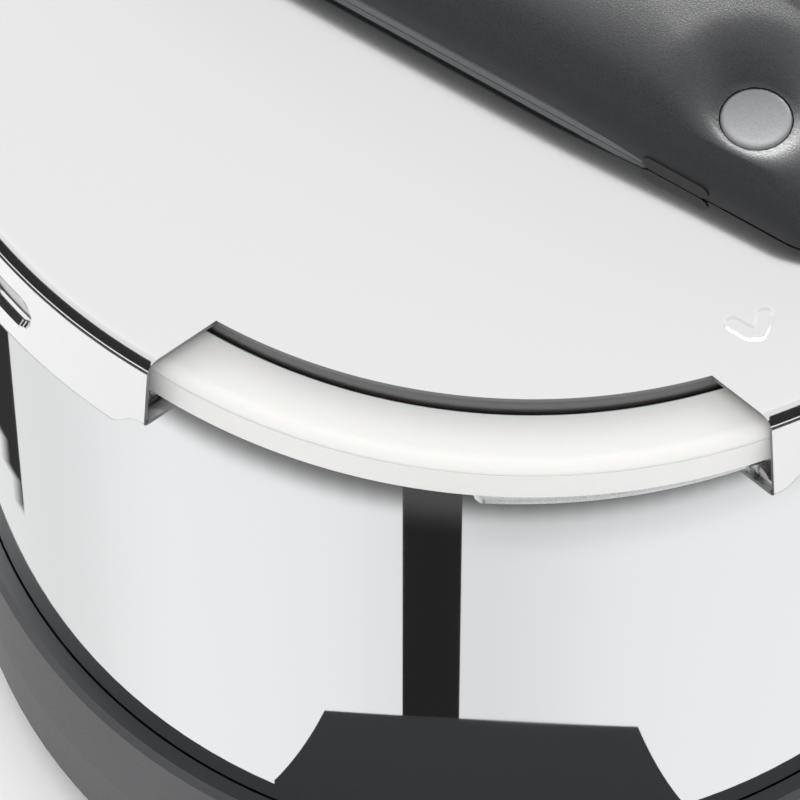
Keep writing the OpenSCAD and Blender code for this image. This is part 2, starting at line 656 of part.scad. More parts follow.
rubber_feet();
bottom_plate();
bottom_screws();
base_housing();
housing_shell();
side_handle_left();
side_handle_right();
handle_screws();
outer_pot();
locking_ring();
heat_shield();
heating_plate();
heating_element();
element_terminals();
sensor_holder();
sensor_cap();
sensor_spring();
thermal_fuse();
fuse_clamp();
pressure_switch();
power_board();
transformer();
relay();
board_capacitors();
wire_harness();
power_inlet();
inlet_pins();
console_housing();
control_panel();
display_window();
display_module();
control_board();
key_switches();
button_menu();
button_warm();
button_minus();
button_plus();
button_cancel();
button_start();
collector_bracket();
condensation_collector();
inner_pot();
inner_cover();
inner_cover_bush();
sealing_ring();
lid_shell();
lid_stud();
cover_base();
lid_cover();
cover_screws();
vent_pipe();
vent_nut();
steam_filter();
pressure_valve();
float_pin();
float_washer();
float_guide();
release_lever();
lever_pin();
steam_button();
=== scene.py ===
# %% [markdown]
# # An electric pressure cooker, seen close at the rim of its lid
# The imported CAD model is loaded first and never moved. It says where everything is, so
# each piece made here takes its place from the boxes of the CAD nodes. Most visible pieces
# are turned or pressed from sheet, so most of them are made as a profile swept round the
# middle axis. That gives even rows of faces, which a polished surface needs: a mirror shows
# every uneven face.

# %% Load the frame
import json
import math

import bmesh
import bpy
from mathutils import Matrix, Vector


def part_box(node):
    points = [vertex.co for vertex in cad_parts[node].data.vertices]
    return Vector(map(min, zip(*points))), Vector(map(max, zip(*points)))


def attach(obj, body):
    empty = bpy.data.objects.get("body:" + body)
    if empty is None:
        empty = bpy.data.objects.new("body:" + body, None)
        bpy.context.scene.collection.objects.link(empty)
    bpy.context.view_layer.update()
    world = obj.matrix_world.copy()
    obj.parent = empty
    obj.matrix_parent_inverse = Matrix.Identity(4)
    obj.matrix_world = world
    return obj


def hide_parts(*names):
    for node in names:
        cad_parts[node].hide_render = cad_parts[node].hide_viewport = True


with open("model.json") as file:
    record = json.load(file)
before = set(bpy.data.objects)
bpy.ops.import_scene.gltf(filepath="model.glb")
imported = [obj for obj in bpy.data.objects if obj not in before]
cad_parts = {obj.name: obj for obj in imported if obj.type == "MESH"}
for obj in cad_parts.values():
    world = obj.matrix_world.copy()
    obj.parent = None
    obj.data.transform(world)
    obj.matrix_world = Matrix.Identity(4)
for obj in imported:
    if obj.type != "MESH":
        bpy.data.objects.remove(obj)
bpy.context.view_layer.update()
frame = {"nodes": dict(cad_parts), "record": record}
nodes = frame["nodes"]
MM = 0.001

# %% [markdown]
# ## Measures from the frame
# Heights and radii come from the boxes of the CAD nodes, in millimetres, because sheet
# metal is thought of in millimetres. The rounded edges that only matter to the eye, such as
# a bend's inner radius, are set here.

# %% Measures


def low_high(name):
    low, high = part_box(name)
    return [c / MM for c in low], [c / MM for c in high]


lid_low, lid_high = low_high("lid_shell")
LID_TOP = lid_high[2]
LUG_BOTTOM = lid_low[2]
RIM = lid_high[0]                     # the skirt's radius at its lower edge
SHEET = 1.2
LUG_H = LID_TOP - LUG_BOTTOM
SKIRT_H = 22.0
SKIRT_LEAN = 2.1                      # how far the skirt leans out on its way down
TOP_R = RIM - SKIRT_LEAN              # the skirt's radius just below the bend
BEND = 2.8
FLAT_R = TOP_R - BEND                 # radius of the flat top
RING_TOP = low_high("locking_ring")[1][2]
RING_LOW = low_high("locking_ring")[0][2]
RING_R = low_high("locking_ring")[1][0]
WALL_R = low_high("housing_shell")[1][0]
SEAL_LOW = low_high("sealing_ring")[0][2]
SEAL_TOP = low_high("sealing_ring")[1][2]
SEAL_R = low_high("sealing_ring")[1][0]
print("lid top %.1f mm, rim radius %.1f, wall radius %.1f" % (LID_TOP, RIM, WALL_R))

# %% [markdown]
# ## Colours and nodes
# A hex colour is what a screen shows, so it is sRGB. Blender reckons in linear light, so one
# function turns the one into the other. Another small function adds a shader node, sets it
# and links it, so that each material below reads as a list of what it is made of.

# %% Colour and node helpers


def linear(hex_colour):
    parts = [int(hex_colour[i:i + 2], 16) / 255 for i in (1, 3, 5)]
    return tuple(c / 12.92 if c <= 0.04045 else ((c + 0.055) / 1.055) ** 2.4 for c in parts) + (1.0,)


def add(tree, kind, inputs=None, **settings):
    """Adds a node. An input is a value, or (node, output name) to link it."""
    made = tree.nodes.new(kind)
    for name, value in settings.items():
        setattr(made, name, value)
    for name, value in (inputs or {}).items():
        if isinstance(value, tuple) and len(value) == 2 and not isinstance(value[0], (int, float)):
            tree.links.new(value[0].outputs[value[1]], made.inputs[name])
        else:
            made.inputs[name].default_value = value
    return made


def material(name, colour, roughness, metallic=0.0, **more):
    """A material with its principled shader set; returns (material, tree, shader)."""
    made = bpy.data.materials.new(name)
    made.use_nodes = True
    tree = made.node_tree
    shader = tree.nodes["Principled BSDF"]
    shader.inputs["Base Color"].default_value = linear(colour)
    shader.inputs["Roughness"].default_value = roughness
    shader.inputs["Metallic"].default_value = metallic
    for key, value in more.items():
        shader.inputs[key.replace("_", " ")].default_value = value
    made.diffuse_color = linear(colour)
    return made, tree, shader


def per_metre(millimetres):
    """Scale of a noise whose features are that big."""
    return 1 / (millimetres * MM)


def grain(tree, shader, size, depth, detail=2.0, stretch=(1, 1, 1)):
    """Bump from a noise of that grain size and depth, both in millimetres."""
    place = add(tree, "ShaderNodeTexCoord")
    turned = add(tree, "ShaderNodeMapping", {"Vector": (place, "Object"), "Scale": stretch})
    noise = add(tree, "ShaderNodeTexNoise", {"Vector": (turned, "Vector"), "Scale": per_metre(size),
                                             "Detail": detail})
    bump = add(tree, "ShaderNodeBump", {"Height": (noise, "Fac"), "Strength": 1.0,
                                        "Distance": depth * MM})
    tree.links.new(bump.outputs["Normal"], shader.inputs["Normal"])
    return noise


def vary(tree, shader, noise, socket, low, high):
    """The noise drives one socket of the shader between two values."""
    spread = add(tree, "ShaderNodeMapRange", {"Value": (noise, "Fac"), "From Min": 0.3, "From Max": 0.7,
                                              "To Min": low, "To Max": high})
    tree.links.new(spread.outputs["Result"], shader.inputs[socket])


def tint(tree, shader, noise, first, second):
    """The noise mixes two colours."""
    ramp = add(tree, "ShaderNodeValToRGB", {"Fac": (noise, "Fac")})
    ramp.color_ramp.elements[0].position = 0.35
    ramp.color_ramp.elements[1].position = 0.65
    ramp.color_ramp.elements[0].color = linear(first)
    ramp.color_ramp.elements[1].color = linear(second)
    tree.links.new(ramp.outputs["Color"], shader.inputs["Base Color"])


# %% [markdown]
# ## Metals
# Stainless steel is a grey mirror: its colour is in its reflections and its finish is in its
# roughness. The lid's sheet is finely satin polished, so it evens out what it reflects. The
# wall is buffed to a mirror, so it shows sharp edges. Where the sheet is cut through, the
# shear leaves a rougher and darker face.

# %% Metal materials


def satin_steel():
    made, tree, shader = material("satin_stainless_steel", "#E6E6E7", 0.14, 1.0)
    noise = grain(tree, shader, 0.5, 0.0006)
    vary(tree, shader, noise, "Roughness", 0.12, 0.16)
    return made


def mirror_steel():
    made, tree, shader = material("buffed_stainless_steel", "#DCDDDE", 0.03, 1.0)
    noise = grain(tree, shader, 60, 0.004, 1.0, (1, 1, 0.4))
    vary(tree, shader, noise, "Roughness", 0.02, 0.045)
    return made


def sheared_steel():
    made, tree, shader = material("sheared_steel_edge", "#8C8D8E", 0.42, 1.0)
    noise = grain(tree, shader, 0.3, 0.02, 3.0, (1, 1, 4))
    vary(tree, shader, noise, "Roughness", 0.34, 0.5)
    return made


def plain_metal(name, colour, low, high, grain_size, depth, second=None):
    """Metal with a turned, cast or plated finish told apart by grain and roughness."""
    made, tree, shader = material(name, colour, low, 1.0)
    noise = grain(tree, shader, grain_size, depth)
    vary(tree, shader, noise, "Roughness", low, high)
    if second:
        tint(tree, shader, noise, colour, second)
    return made


SATIN = satin_steel()
MIRROR = mirror_steel()
SHEARED = sheared_steel()
metals = {
    "stamped_steel": plain_metal("stamped_stainless_steel", "#C9CBCC", 0.2, 0.34, 1.2, 0.004),
    "galvanised_steel": plain_metal("galvanised_steel", "#A4A7A9", 0.36, 0.55, 6, 0.01, "#B6B9BB"),
    "screw_steel": plain_metal("zinc_plated_steel", "#BEC1C4", 0.24, 0.38, 0.6, 0.003),
    "turned_steel": plain_metal("turned_stainless_steel", "#C6C8CA", 0.18, 0.3, 0.4, 0.003),
    "switch_metal": plain_metal("tin_plate", "#C4C6C8", 0.3, 0.42, 0.8, 0.002),
    "spring_steel": plain_metal("drawn_spring_wire", "#8F9294", 0.26, 0.4, 0.3, 0.003),
    "element_sheath": plain_metal("annealed_element_sheath", "#5E5854", 0.5, 0.65, 1.5, 0.01, "#6B6460"),
    "cast_aluminium": plain_metal("cast_aluminium", "#BFC0C1", 0.34, 0.5, 0.9, 0.02),
    "pressed_aluminium": plain_metal("pressed_aluminium", "#C9CACB", 0.26, 0.36, 0.7, 0.004),
    "pin_brass": plain_metal("nickel_plated_brass", "#D3C08A", 0.22, 0.32, 0.6, 0.002),
    "float_brass": plain_metal("turned_brass", "#C79A4A", 0.24, 0.36, 0.4, 0.003),
}
print("metals", len(metals) + 3)

# %% [markdown]
# ## Plastics, silicone, coatings and glass
# The cover and the body's base are ABS moulded against a spark-eroded tool, which leaves a
# fine pebbled grain that breaks up the highlight. Silicone lets a little light in, so its
# edges look soft. The non-stick coating has a faint mottle. Each grain's size is that of the
# real one, about a third of a millimetre.

# %% Plastic and other materials


def moulded_plastic(name, colour, low, high, grain_size, depth, second=None):
    made, tree, shader = material(name, colour, low, IOR=1.53)
    noise = grain(tree, shader, grain_size, depth, 3.0)
    vary(tree, shader, noise, "Roughness", low, high)
    if second:
        tint(tree, shader, noise, colour, second)
    return made


def silicone():
    made, tree, shader = material("white_silicone", "#E2E2E0", 0.4, IOR=1.41, Subsurface_Weight=0.25,
                                  Subsurface_Scale=0.002)
    noise = grain(tree, shader, 2.2, 0.02, 2.0)
    vary(tree, shader, noise, "Roughness", 0.36, 0.46)
    return made


def non_stick_coating():
    made, tree, shader = material("non_stick_coating", "#3E3F41", 0.34, Coat_Weight=0.25,
                                  Coat_Roughness=0.25)
    noise = grain(tree, shader, 0.8, 0.006, 4.0)
    tint(tree, shader, noise, "#3A3B3D", "#47484A")
    return made


def tinted_window():
    made, tree, shader = material("tinted_acrylic_window", "#1B2024", 0.08, IOR=1.49)
    noise = grain(tree, shader, 30, 0.002)
    vary(tree, shader, noise, "Roughness", 0.05, 0.1)
    return made


def translucent_cup():
    made, tree, shader = material("clear_polypropylene", "#DCE3E6", 0.22, IOR=1.49,
                                  Transmission_Weight=0.55)
    noise = grain(tree, shader, 3, 0.008)
    vary(tree, shader, noise, "Roughness", 0.18, 0.3)
    return made


def display_face():
    made, tree, shader = material("lit_display_digits", "#DFF3FF", 0.4, Emission_Strength=1.6)
    noise = grain(tree, shader, 1.5, 0.002)
    tint(tree, shader, noise, "#CFE9F7", "#E4F6FF")
    shader.inputs["Emission Color"].default_value = linear("#CFEFFF")
    return made


SILICONE = silicone()
GRAINED = moulded_plastic("spark_eroded_black_abs", "#2E2F31", 0.42, 0.52, 0.36, 0.06, "#38393B")
plastics = {
    "rubber": moulded_plastic("moulded_rubber", "#262627", 0.7, 0.82, 0.5, 0.02),
    "black_plastic": moulded_plastic("moulded_black_pp", "#303134", 0.42, 0.54, 0.4, 0.025, "#35363A"),
    "ceramic": moulded_plastic("steatite_ceramic", "#DDD6C5", 0.5, 0.6, 0.5, 0.01),
    "circuit_board": moulded_plastic("green_solder_mask", "#2F6A3C", 0.3, 0.4, 1.2, 0.01, "#2A5F36"),
    "transformer_core": moulded_plastic("varnished_laminations", "#4B443A", 0.35, 0.5, 0.6, 0.02),
    "relay_blue": moulded_plastic("blue_pbt", "#2C56A4", 0.35, 0.45, 0.5, 0.01),
    "capacitor_sleeve": moulded_plastic("pvc_shrink_sleeve", "#2A2E36", 0.25, 0.34, 0.8, 0.01),
    "wire_insulation": moulded_plastic("silicone_wire_insulation", "#B23A2F", 0.5, 0.6, 0.6, 0.01),
    "inlet_plastic": moulded_plastic("black_nylon", "#1C1C1E", 0.35, 0.45, 0.4, 0.015),
    "gloss_panel": moulded_plastic("gloss_black_panel", "#0E0F11", 0.08, 0.13, 25, 0.002),
    "key_plastic": moulded_plastic("matt_grey_keys", "#47494C", 0.42, 0.52, 0.35, 0.015),
    "grey_plastic": moulded_plastic("grey_abs", "#77797B", 0.48, 0.58, 0.36, 0.03),
    "valve_plastic": moulded_plastic("black_phenolic", "#2A2B2D", 0.3, 0.42, 0.5, 0.02),
    "button_grey": moulded_plastic("grey_button_abs", "#747577", 0.4, 0.5, 0.36, 0.02, "#7C7D7F"),
    "silicone": SILICONE,
    "pot_coating": non_stick_coating(),
    "window_glass": tinted_window(),
    "display_face": moulded_plastic("black_display_glass", "#15181B", 0.2, 0.3, 3, 0.002),
    "clear_cup": translucent_cup(),
    "grained_plastic": GRAINED,
}
by_slot = {**metals, **plastics, "satin_steel": SATIN, "mirror_steel": MIRROR}
for row in frame["record"]["subparts"]:
    data = nodes[row["node"]].data
    data.materials.clear()
    data.materials.append(by_slot[row["material_slot"]])
slot_of = {row["node"]: row["material_slot"] for row in frame["record"]["subparts"]}
print("finished", len(slot_of), "CAD nodes from", len(by_slot), "slots")

# %% [markdown]
# ## From a profile to a mesh
# A turned or pressed piece is a profile taken round the axis. The profile may change on the
# way, as it does at a bayonet lug, so it is a function of the direction. All profiles have
# the same number of points, so the faces join up in a grid.

# %% Sweep helper


def finish_piece(obj, body, stands_for=(), sharp=40):
    """Smooths a new piece, binds it to its body and hides the CAD nodes it stands for."""
    mesh = obj.data
    mesh.shade_smooth()
    mesh.set_sharp_from_angle(angle=math.radians(sharp))
    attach(obj, body)
    if stands_for:
        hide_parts(*stands_for)
    return obj


def make_object(name, points, faces, finish, second=None):
    """A mesh object from points in millimetres."""
    mesh = bpy.data.meshes.new(name)
    mesh.from_pydata([[c * MM for c in p] for p in points], [], faces)
    mesh.materials.append(finish)
    if second:
        mesh.materials.append(second)
    mesh.validate()
    obj = bpy.data.objects.new(name, mesh)
    bpy.context.scene.collection.objects.link(obj)
    return obj


def set_modifiers(obj, *modifiers):
    """Adds modifiers given as (type, settings) and applies them."""
    for kind, settings in modifiers:
        made = obj.modifiers.new(kind.lower(), kind)
        for key, value in settings.items():
            setattr(made, key, value)
    graph = bpy.context.evaluated_depsgraph_get()
    done = bpy.data.meshes.new_from_object(obj.evaluated_get(graph))
    obj.modifiers.clear()
    obj.data = done
    return obj


def sweep(name, directions, profile, finish):
    """Grid from profile(direction) = [(r, z), ...] round the Z axis, in degrees and millimetres."""
    rows = [profile(a) for a in directions]
    count = len(rows[0])
    points = []
    for a, row in zip(directions, rows):
        c, s = math.cos(math.radians(a)), math.sin(math.radians(a))
        points += [(r * c, r * s, z) for r, z in row]
    faces = []
    full = abs((directions[-1] - directions[0]) - 360) > 1e-6
    turns = len(directions) if full else len(directions) - 1
    for i in range(turns):
        n = (i + 1) % len(directions)
        for j in range(count):
            m = (j + 1) % count
            faces.append((i * count + j, n * count + j, n * count + m, i * count + m))
    return make_object(name, points, faces, finish)


def round_turn(step):
    """Directions all the way round, the last one left out."""
    count = round(360 / step)
    return [i * 360 / count for i in range(count)]


def arc(x, y, r, start, end, steps):
    return [(x + r * math.cos(math.radians(start + (end - start) * i / steps)),
             y + r * math.sin(math.radians(start + (end - start) * i / steps))) for i in range(steps + 1)]


def smooth_step(x):
    x = min(1.0, max(0.0, x))
    return x * x * (3 - 2 * x)


# %% [markdown]
# ## The lid
# The lid is one steel sheet: a flat top, a bend, a skirt, and a small second bend at its
# lower edge, which carries the six bayonet lugs. Here it is a single surface of rows and
# columns that Solidify thickens, so the sheet is equally thick everywhere and its cut faces
# get a material of their own. Columns bend to follow the slanting cuts of the rim window.

# %% Lid measures
LUGS = 6
LUG_START = 13
LUG_HALF = 14.5
LUG_FADE = 1.5                        # half the stretch over which a lug runs out, in degrees
LUG_REACH = 10.0                      # how far a lug turns in from the skirt
LIP_REACH = 3.6
EDGE_BEND = 1.2
CUTS = ((152.3, 131.4), (202.1, 230.9))   # direction of each inner corner, and of its cut
WINDOW_R = 116.35
WINDOW_DRIFT = 2.6                    # how unevenly the window sits, from side to side
WINDOW_MIDDLE = 178
POCKET_HALF = 7.5
POCKET_RISE = 5.3
POCKET_MIDDLE = 14.5                  # depth of a pocket's middle below the top
POCKET_PUSH = 1.0


def window_drift(direction):
    """How far the window and the seal in it stand out more on one side, in millimetres."""
    fade = smooth_step((direction - 128) / 14) * smooth_step((228 - direction) / 14)
    return WINDOW_DRIFT * math.sin(math.radians(direction - WINDOW_MIDDLE)) * fade


def window_radius(direction):
    return WINDOW_R + window_drift(direction)


def cut_direction(cut, r):
    """Direction at which one of the window's cuts crosses a radius."""
    corner, course = (math.radians(v) for v in cut)
    start = window_radius(cut[0])
    if r <= start:
        return cut[0]
    p = Vector((start * math.cos(corner), start * math.sin(corner)))
    u = Vector((math.cos(course), math.sin(course)))
    along = -p.dot(u) + math.sqrt(p.dot(u) ** 2 + r * r - start ** 2)
    hit = p + along * u
    return math.degrees(math.atan2(hit.y, hit.x)) % 360


def follow_cuts(direction, r):
    """Moves a column sideways so that the nearest ones lie along the window's cuts."""
    for cut in CUTS:
        weight = max(0.0, 1 - abs(direction - cut[0]) / 14)
        if weight:
            return direction + weight * (cut_direction(cut, r) - cut[0])
    return direction


def from_lug(direction):
    """Degrees from the middle of the nearest lug."""
    off = (direction - LUG_START) % (360 / LUGS)
    return min(off, 360 / LUGS - off)


def skirt_r(depth):
    return TOP_R + SKIRT_LEAN * depth / LUG_H


def lid_columns():
    """Directions round the lid, closer together at lug ends and pockets."""
    found = {float(i) for i in range(360)}
    for k in range(LUGS):
        middle = LUG_START + k * 60
        found |= {round((middle + i * 0.22) % 360, 3) for i in range(-20, 21)}
        for side in (-1, 1):
            found |= {round((middle + side * LUG_HALF + i * 0.2) % 360, 3) for i in range(-10, 11)}
    for cut in CUTS:
        found |= {round(cut[0] + i * 0.5, 3) for i in range(-6, 7)}
    corners = [cut[0] for cut in CUTS]
    rows = sorted(found)
    return [a for i, a in enumerate(rows) if a in corners or i == 0 or a - rows[i - 1] > 0.05]


def lid_rows(direction):
    """(r, depth) along the sheet's outer face, from the middle to the turned-in edge."""
    off = from_lug(follow_cuts(direction, TOP_R))
    lug = smooth_step((LUG_HALF + LUG_FADE - off) / (2 * LUG_FADE))
    broad = smooth_step((5 - abs(direction - CUTS[0][0])) / 2)
    deep = SKIRT_H + (LUG_H - SKIRT_H) * lug
    reach = LIP_REACH + (LUG_REACH - LIP_REACH) * max(lug, 0.75 * broad)
    start = window_radius(direction)
    flat = [(float(r), 0.0) for r in (0.5, 20, 40, 60, 75, 88, 96, 102)]
    flat += [(102 + i * 1.0, 0.0) for i in range(1, 13)]
    flat += [(start + i * (FLAT_R - start) / 12, 0.0) for i in range(0, 13)]
    bend = [(r, -z) for r, z in arc(FLAT_R, -BEND, BEND, 90, 4, 14)[1:]]
    top, low = BEND + 0.3, deep - EDGE_BEND
    skirt = [(skirt_r(top + (low - top) * i / 34), top + (low - top) * i / 34) for i in range(0, 35)]
    edge_r = skirt_r(low) - EDGE_BEND
    edge = [(r, low - z) for r, z in arc(edge_r, 0, EDGE_BEND, 0, -90, 6)[1:]]
    lip = [(edge_r - (reach - EDGE_BEND) * i / 4, deep) for i in range(1, 5)]
    return flat + bend + skirt + edge + lip


CUT_ROW = 20                          # the row that runs along the window's inner edge

# %% [markdown]
# ### The pockets and the tick
# Above each lug a pocket is pressed into the skirt. It starts flush at its top and ends in a
# step at its foot, where the press sheared the sheet. The tick beside the cover is a shallow
# groove. Both are depths that fall off from an outline, so the faces there must be fine.

# %% Pocket and tick helpers
TICK = ((-96.75, -47.9), (-98.6, -51.0), (-98.5, -53.0), (-96.9, -53.6), (-94.3, -54.0))
TICK_HALF = 1.5
TICK_DEPTH = 0.26


def pocket_push(direction, depth):
    """How far a pocket pushes the skirt in, in millimetres."""
    off = (direction - LUG_START + 30) % 60 - 30
    x, y = math.radians(off) * RIM, depth - POCKET_MIDDLE
    along = max(0.0, abs(x) - (POCKET_HALF - POCKET_RISE))
    inside = POCKET_RISE - math.hypot(along, y)
    ramp = min(1.0, max(0.0, (y + POCKET_RISE) / (1.3 * POCKET_RISE)))
    return POCKET_PUSH * ramp * (1 if inside > 0 else 0)


def tick_depth(x, y):
    """Depth of the pressed tick at a place on the lid's top."""
    best = 1e9
    for (ax, ay), (bx, by) in zip(TICK, TICK[1:]):
        ux, uy = bx - ax, by - ay
        t = max(0.0, min(1.0, ((x - ax) * ux + (y - ay) * uy) / (ux * ux + uy * uy)))
        best = min(best, math.hypot(x - ax - t * ux, y - ay - t * uy))
    return TICK_DEPTH * smooth_step((TICK_HALF + 0.55 - best) / 1.1)


# %% Make the lid


def make_lid():
    columns = lid_columns()
    grid = [lid_rows(a) for a in columns]
    count = len(grid[0])
    window = (columns.index(CUTS[0][0]), columns.index(CUTS[1][0]))
    points = []
    for a, row in zip(columns, grid):
        for r, depth in row:
            pushed = pocket_push(a, depth) if r > TOP_R else 0
            turned = math.radians(follow_cuts(a, r))
            points.append(((r - pushed) * math.cos(turned), (r - pushed) * math.sin(turned),
                           LID_TOP - depth))
    faces = []
    for i in range(len(columns)):
        n = (i + 1) % len(columns)
        last = CUT_ROW if window[0] <= i < window[1] else count - 1
        for j in range(last):
            faces.append((i * count + j, i * count + j + 1, n * count + j + 1, n * count + j))
    lid = make_object("lid_sheet", points, faces, SATIN, SHEARED)
    press_tick(lid.data)
    set_modifiers(lid, ("SOLIDIFY", {"thickness": SHEET * MM, "offset": -1, "material_offset_rim": 1}),
                  ("BEVEL", {"width": 0.12 * MM, "segments": 2, "limit_method": "ANGLE",
                             "angle_limit": math.radians(60)}))
    return finish_piece(lid, "lid", ["lid_shell"])


def press_tick(mesh):
    """Splits the faces round the tick and presses it in."""
    work = bmesh.new()
    work.from_mesh(mesh)
    work.verts.ensure_lookup_table()
    loose = [v for v in work.verts if not v.link_faces]
    bmesh.ops.delete(work, geom=loose, context="VERTS")
    middle = Vector((sum(p[0] for p in TICK), sum(p[1] for p in TICK))) / len(TICK) * MM
    for reach, cuts in ((14, 1), (8.5, 1), (7.5, 1)):
        near = [e for e in work.edges
                if all((v.co.xy - middle).length < reach * MM and v.co.z > (LID_TOP - 0.1) * MM
                       for v in e.verts)]
        bmesh.ops.subdivide_edges(work, edges=near, cuts=cuts, use_grid_fill=True)
    for v in work.verts:
        if v.co.z > (LID_TOP - 0.1) * MM:
            v.co.z -= tick_depth(v.co.x / MM, v.co.y / MM) * MM
    work.to_mesh(mesh)
    work.free()


lid = make_lid()
print("lid faces", len(lid.data.polygons))

# %% [markdown]
# ## The sealing ring
# The seal is a ring of moulded silicone under the lid's rim. It shows in the window as a
# broad soft band. Its outer corner is round, a fine flash line runs where the two halves of
# its mould met, and its inner side has a lip that the steam presses open.

# %% Seal


def seal_profile(direction):
    top, low, out = SEAL_TOP, SEAL_LOW, SEAL_R
    flash = low + 8.6
    outside = [(121, low), (out - 1.4, low)] + arc(out - 0.8, low + 0.6, 0.6, -80, 0, 4)
    outside += [(out - 0.06, flash - 0.5), (out - 0.02, flash - 0.15), (out + 0.04, flash),
                (out - 0.02, flash + 0.15), (out - 0.02, flash + 0.4)]
    outside += arc(out - 3.2, top - 2.9, 3.0, 0, 88, 12)
    inside = [(121, top + 0.02), (118.4, top), (116.2, top - 0.05), (115.5, top - 1.0), (115.5, top - 5.4),
              (118.6, top - 6.6), (119.4, top - 8.6), (118.2, low + 1.8), (115.6, low + 0.9)]
    drift = window_drift(direction)
    return [(r + drift, z) for r, z in outside + inside]


def seat_profile(direction):
    """The seat that grips the seal from inside, just under the lid."""
    drift = window_drift(direction)
    high = LID_TOP - SHEET - 0.35
    shape = [(115.3, SEAL_TOP - 1.5), (115.3, high - 0.8), (114.6, high), (112.4, high), (112.0, high - 0.6),
             (112.6, SEAL_TOP - 1.5)]
    return [(r + drift, z) for r, z in shape]


seal = sweep("seal_band", round_turn(0.75), seal_profile, SILICONE)
finish_piece(seal, "inner_lid", ["sealing_ring"], 50)
seat = sweep("seal_seat", round_turn(0.75), seat_profile, SHEARED)
finish_piece(seat, "inner_lid", (), 50)
print("seal radius %.1f" % SEAL_R)

# %% [markdown]
# ## The wall and the locking ring
# The wall is a rolled tube of buffed sheet with a turned-over upper edge. The locking ring
# above it is stamped thicker, and its lugs hold the lid's lugs down. One more lug, in the
# window, holds none: it only shows its edge under the seal.

# %% Wall and locking ring


def wall_profile(direction):
    low, high = low_high("housing_shell")
    edge = 0.35
    outer = [(WALL_R, low[2] + i * (high[2] - edge - low[2]) / 40) for i in range(41)]
    top = arc(WALL_R - edge, high[2] - edge, edge, 20, 90, 4)
    return outer + top + [(WALL_R - 0.8, high[2]), (WALL_R - 0.8, low[2])]


RING_LUGS = (43, 103, 193, 223, 283, 343)


def ring_lug(direction):
    off = min(abs((direction - middle + 180) % 360 - 180) for middle in RING_LUGS)
    return smooth_step((LUG_HALF - off) / 1.4)


def ring_profile(direction):
    lug = ring_lug(direction)
    out = 122.6 + (RING_R - 122.6) * lug
    rest = RING_TOP - 2
    low_edge = arc(out - 0.6, RING_LOW + 0.6, 0.6, -90, 0, 4)
    high_edge = arc(out - 1.1, RING_TOP - 1.1, 1.1, 0, 90, 5)
    return [(113, RING_LOW)] + low_edge + high_edge + [(120.2, RING_TOP), (120, RING_TOP - 0.2), (120, rest),
                                                       (113, rest)]


wall = sweep("wall_tube", round_turn(0.5), wall_profile, MIRROR)
finish_piece(wall, "root", ["housing_shell"])
ring = sweep("bayonet_ring", round_turn(0.5), ring_profile, metals["stamped_steel"])
finish_piece(ring, "root", ["locking_ring"])

# %% [markdown]
# ## The cover on the lid
# The cover is a long pillow of grained plastic with no hard break between its top and its
# sides. It is made as rings that shrink from its outline to its middle, lifted by a rounded
# height. The dish round the button is a funnel pressed into that height, and the holes are
# cut through it afterwards. The slot in the near edge is not cut: a black piece lying across
# the edge is painted shade for the dark inside of the slot.

# %% Cover measures
COVER_DIR = math.radians(-120)
COVER_L = 106.0
COVER_W = 38.4
COVER_CORNER = 18.0
COVER_PEAK = low_high("lid_cover")[1][2]
RELEASE_AT = (72.8, -25.1)
RELEASE_R = 7.2
VALVE_AT = (-62.3, 23.8)
FLOAT_AT = (-30.0, -14.0)
DISH_R = 20.5
DISH_DEPTH = 5.0
NOTCH = (62.9, 7.7, 3.9)              # middle, half width and height of the notch in the edge


def in_cover(u, v):
    """A place in the cover's own frame turned into the lid's."""
    c, s = math.cos(COVER_DIR), math.sin(COVER_DIR)
    return u * c - v * s, u * s + v * c


def cover_outline():
    """Points round the outline, a rectangle with round corners."""
    points = []
    for x, y, start in ((1, 1, 0), (-1, 1, 90), (-1, -1, 180), (1, -1, 270)):
        points += arc(x * (COVER_L - COVER_CORNER), y * (COVER_W - COVER_CORNER), COVER_CORNER,
                      start, start + 90, 30)
        straight = 2 * (COVER_L - COVER_CORNER if x * y > 0 else COVER_W - COVER_CORNER)
        along = Vector((-x if x * y > 0 else 0, -y if x * y < 0 else 0))
        steps = round(straight / 2)
        end = Vector(points[-1])
        points += [tuple(end + along * straight * i / steps) for i in range(1, steps)]
    return points


def foot_height(u, v):
    """The gap under the cover's edge, where the grey strip shows: it narrows to nothing."""
    near = smooth_step((70 - u) / 40) if v < 0 else 1.0
    return LID_TOP + 0.35 + 3.4 * near


def cover_height(u, v, share):
    """Height of the cover's surface; share is 0 in the middle and 1 at the outline."""
    dome = max(0.0, 1 - share ** 5) ** 0.45
    fall = 1 - 0.3 * (u / COVER_L) ** 2
    foot = foot_height(u, v) + 0.6
    return foot + (COVER_PEAK - foot) * dome * fall


RELEASE_SHARE = 0.72                  # how far out the button sits, from middle to outline
DISH_LEVEL = cover_height(*RELEASE_AT, RELEASE_SHARE) - DISH_DEPTH


def dish_share(u, v):
    """0 at the button and 1 where the funnel round it has run out into the cover."""
    away = math.hypot(u - RELEASE_AT[0], v - RELEASE_AT[1])
    x = min(1.0, max(0.0, (away - RELEASE_R - 0.4) / (DISH_R - RELEASE_R)))
    return 1 - (1 - x) ** 2


# %% Make the cover


def cover_point(place, share):
    """Surface point; above 1 the share runs down the upright foot."""
    inner = min(1.0, share)
    u, v = place[0] * inner, place[1] * inner
    z = cover_height(u, v, inner)
    if z > DISH_LEVEL:
        z = DISH_LEVEL + (z - DISH_LEVEL) * dish_share(u, v)
    if share > 1:
        z -= 0.6 * (share - 1)
    return u, v, z


